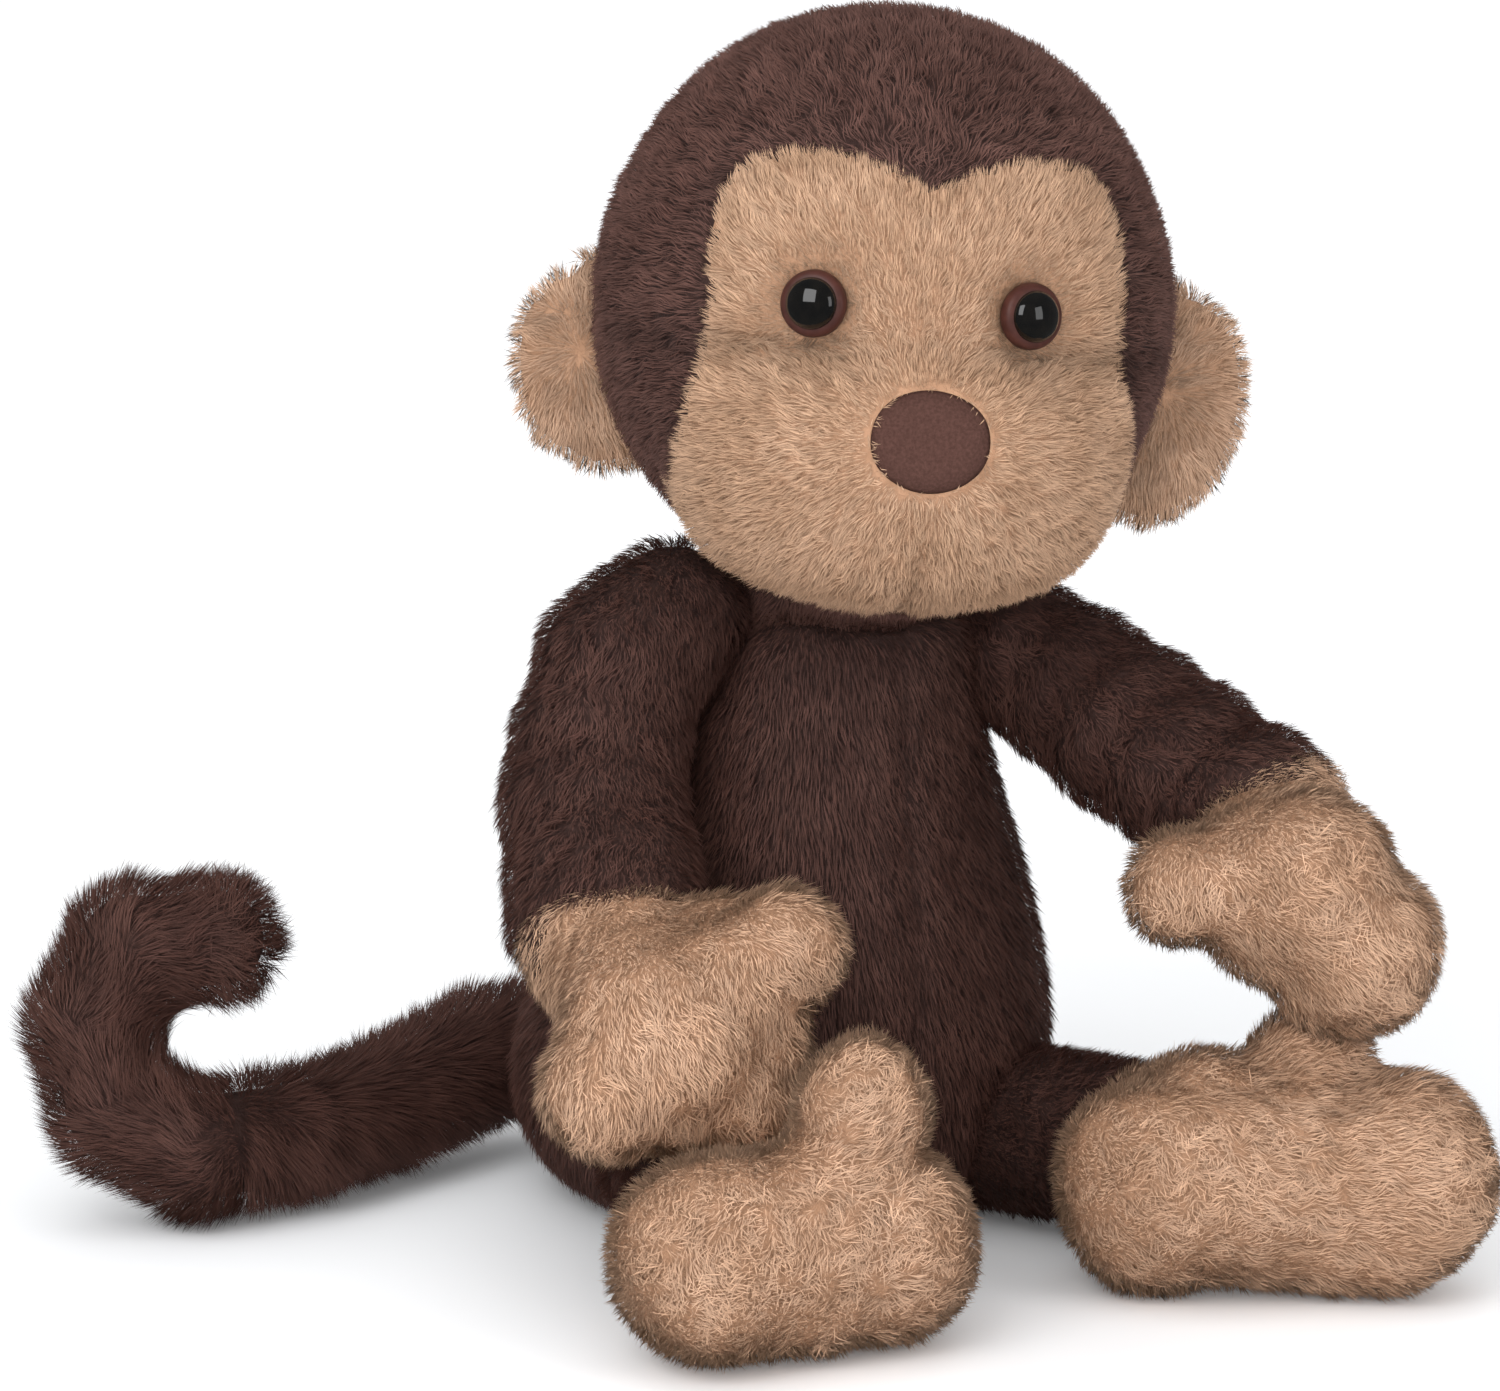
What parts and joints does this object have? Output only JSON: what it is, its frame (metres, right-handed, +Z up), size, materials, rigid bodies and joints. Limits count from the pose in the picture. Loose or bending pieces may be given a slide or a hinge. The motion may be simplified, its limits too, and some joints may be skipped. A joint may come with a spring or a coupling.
{
  "type": "stuffed monkey",
  "caption": "Sitting plush monkey with a round head, soft muzzle, long arms resting on mitten feet and a curled tail; limbs, head, ears and tail turn at their seams.",
  "frame": {"origin": "middle of the flat patch under the seat, on the surface the toy sits on", "axes": "+Z up; the belly faces -Y; the toy's right side is -X"},
  "size_m": [0.2582, 0.239, 0.2655],
  "materials": {
    "brown_plush": "matte",
    "tan_plush": "matte",
    "stuffing": "matte",
    "suede": "matte",
    "eye_brown": "gloss",
    "eye_black": "gloss",
    "washer_plastic": "matte",
    "bag_cloth": "matte",
    "pellets": "matte"
  },
  "bodies": {
    "torso": {"torso_front_panel": "brown_plush", "torso_back_panel": "brown_plush", "torso_stuffing": "stuffing", "bean_bag": "bag_cloth", "bean_pellets": "pellets"},
    "neck": {"neck_stuffing": "stuffing"},
    "head": {"head_cap": "brown_plush", "face_panel": "tan_plush", "head_stuffing": "stuffing", "nose": "suede", "right_eye": "eye_brown", "right_pupil": "eye_black", "right_eye_washer": "washer_plastic", "left_eye": "eye_brown", "left_pupil": "eye_black", "left_eye_washer": "washer_plastic"},
    "right_ear": {"right_ear_front": "tan_plush", "right_ear_back": "tan_plush"},
    "left_ear": {"left_ear_front": "tan_plush", "left_ear_back": "tan_plush"},
    "right_arm": {"right_arm_sleeve": "brown_plush", "right_arm_stuffing": "stuffing"},
    "left_arm": {"left_arm_sleeve": "brown_plush", "left_arm_stuffing": "stuffing"},
    "right_hand": {"right_hand_shell": "tan_plush", "right_hand_stuffing": "stuffing"},
    "left_hand": {"left_hand_shell": "tan_plush", "left_hand_stuffing": "stuffing"},
    "right_leg": {"right_leg_sleeve": "brown_plush", "right_leg_stuffing": "stuffing"},
    "left_leg": {"left_leg_sleeve": "brown_plush", "left_leg_stuffing": "stuffing"},
    "right_foot": {"right_foot_shell": "tan_plush", "right_foot_stuffing": "stuffing"},
    "left_foot": {"left_foot_shell": "tan_plush", "left_foot_stuffing": "stuffing"},
    "tail": {"tail_sleeve": "brown_plush", "tail_stuffing": "stuffing"}
  },
  "joints": [
    {"name": "neck_turn", "type": "hinge", "parent": "torso", "child": "neck", "pos_m": [0.0055, -0.02, 0.143], "axis": [0, 0, 1], "range_deg": [-30, 30]},
    {"name": "head_nod", "type": "hinge", "parent": "neck", "child": "head", "pos_m": [0.0055, -0.02, 0.143], "axis": [1, 0, 0], "range_deg": [-25, 8]},
    {"name": "right_ear_fold", "type": "hinge", "parent": "head", "child": "right_ear", "pos_m": [-0.05378, -0.0074, 0.1934], "axis": [0.0574, -0.0209, 0.9981], "range_deg": [-20, 20], "stiffness_Nm_per_rad": 0.004},
    {"name": "left_ear_fold", "type": "hinge", "parent": "head", "child": "left_ear", "pos_m": [0.06514, -0.05068, 0.18216], "axis": [-0.0574, 0.0209, -0.9981], "range_deg": [-20, 20], "stiffness_Nm_per_rad": 0.004},
    {"name": "right_arm_raise", "type": "hinge", "parent": "torso", "child": "right_arm", "pos_m": [-0.04, -0.0145, 0.1325], "axis": [-0.318, 0.7943, -0.5176], "range_deg": [0, 75]},
    {"name": "left_arm_raise", "type": "hinge", "parent": "torso", "child": "left_arm", "pos_m": [0.044, -0.019, 0.127], "axis": [-0.2919, -0.4227, 0.858], "range_deg": [0, 75]},
    {"name": "right_hand_bend", "type": "hinge", "parent": "right_arm", "child": "right_hand", "pos_m": [-0.066, -0.043, 0.0775], "axis": [-1, 0, 0], "range_deg": [0, 30]},
    {"name": "left_hand_bend", "type": "hinge", "parent": "left_arm", "child": "left_hand", "pos_m": [0.068, -0.084, 0.095], "axis": [-1, 0, 0], "range_deg": [0, 30]},
    {"name": "right_leg_lower", "type": "hinge", "parent": "torso", "child": "right_leg", "pos_m": [-0.038, -0.027, 0.0218], "axis": [1, 0, 0], "range_deg": [0, 45]},
    {"name": "left_leg_lower", "type": "hinge", "parent": "torso", "child": "left_leg", "pos_m": [0.036, -0.031, 0.0208], "axis": [1, 0, 0], "range_deg": [0, 45]},
    {"name": "right_foot_point", "type": "hinge", "parent": "right_leg", "child": "right_foot", "pos_m": [-0.05, -0.082, 0.0218], "axis": [1, 0, 0], "range_deg": [0, 30]},
    {"name": "left_foot_point", "type": "hinge", "parent": "left_leg", "child": "left_foot", "pos_m": [0.046, -0.082, 0.0218], "axis": [1, 0, 0], "range_deg": [0, 30]},
    {"name": "tail_swing", "type": "hinge", "parent": "torso", "child": "tail", "pos_m": [-0.008, 0.062, 0.025], "axis": [0, 0, -1], "range_deg": [0, 75]}
  ]
}
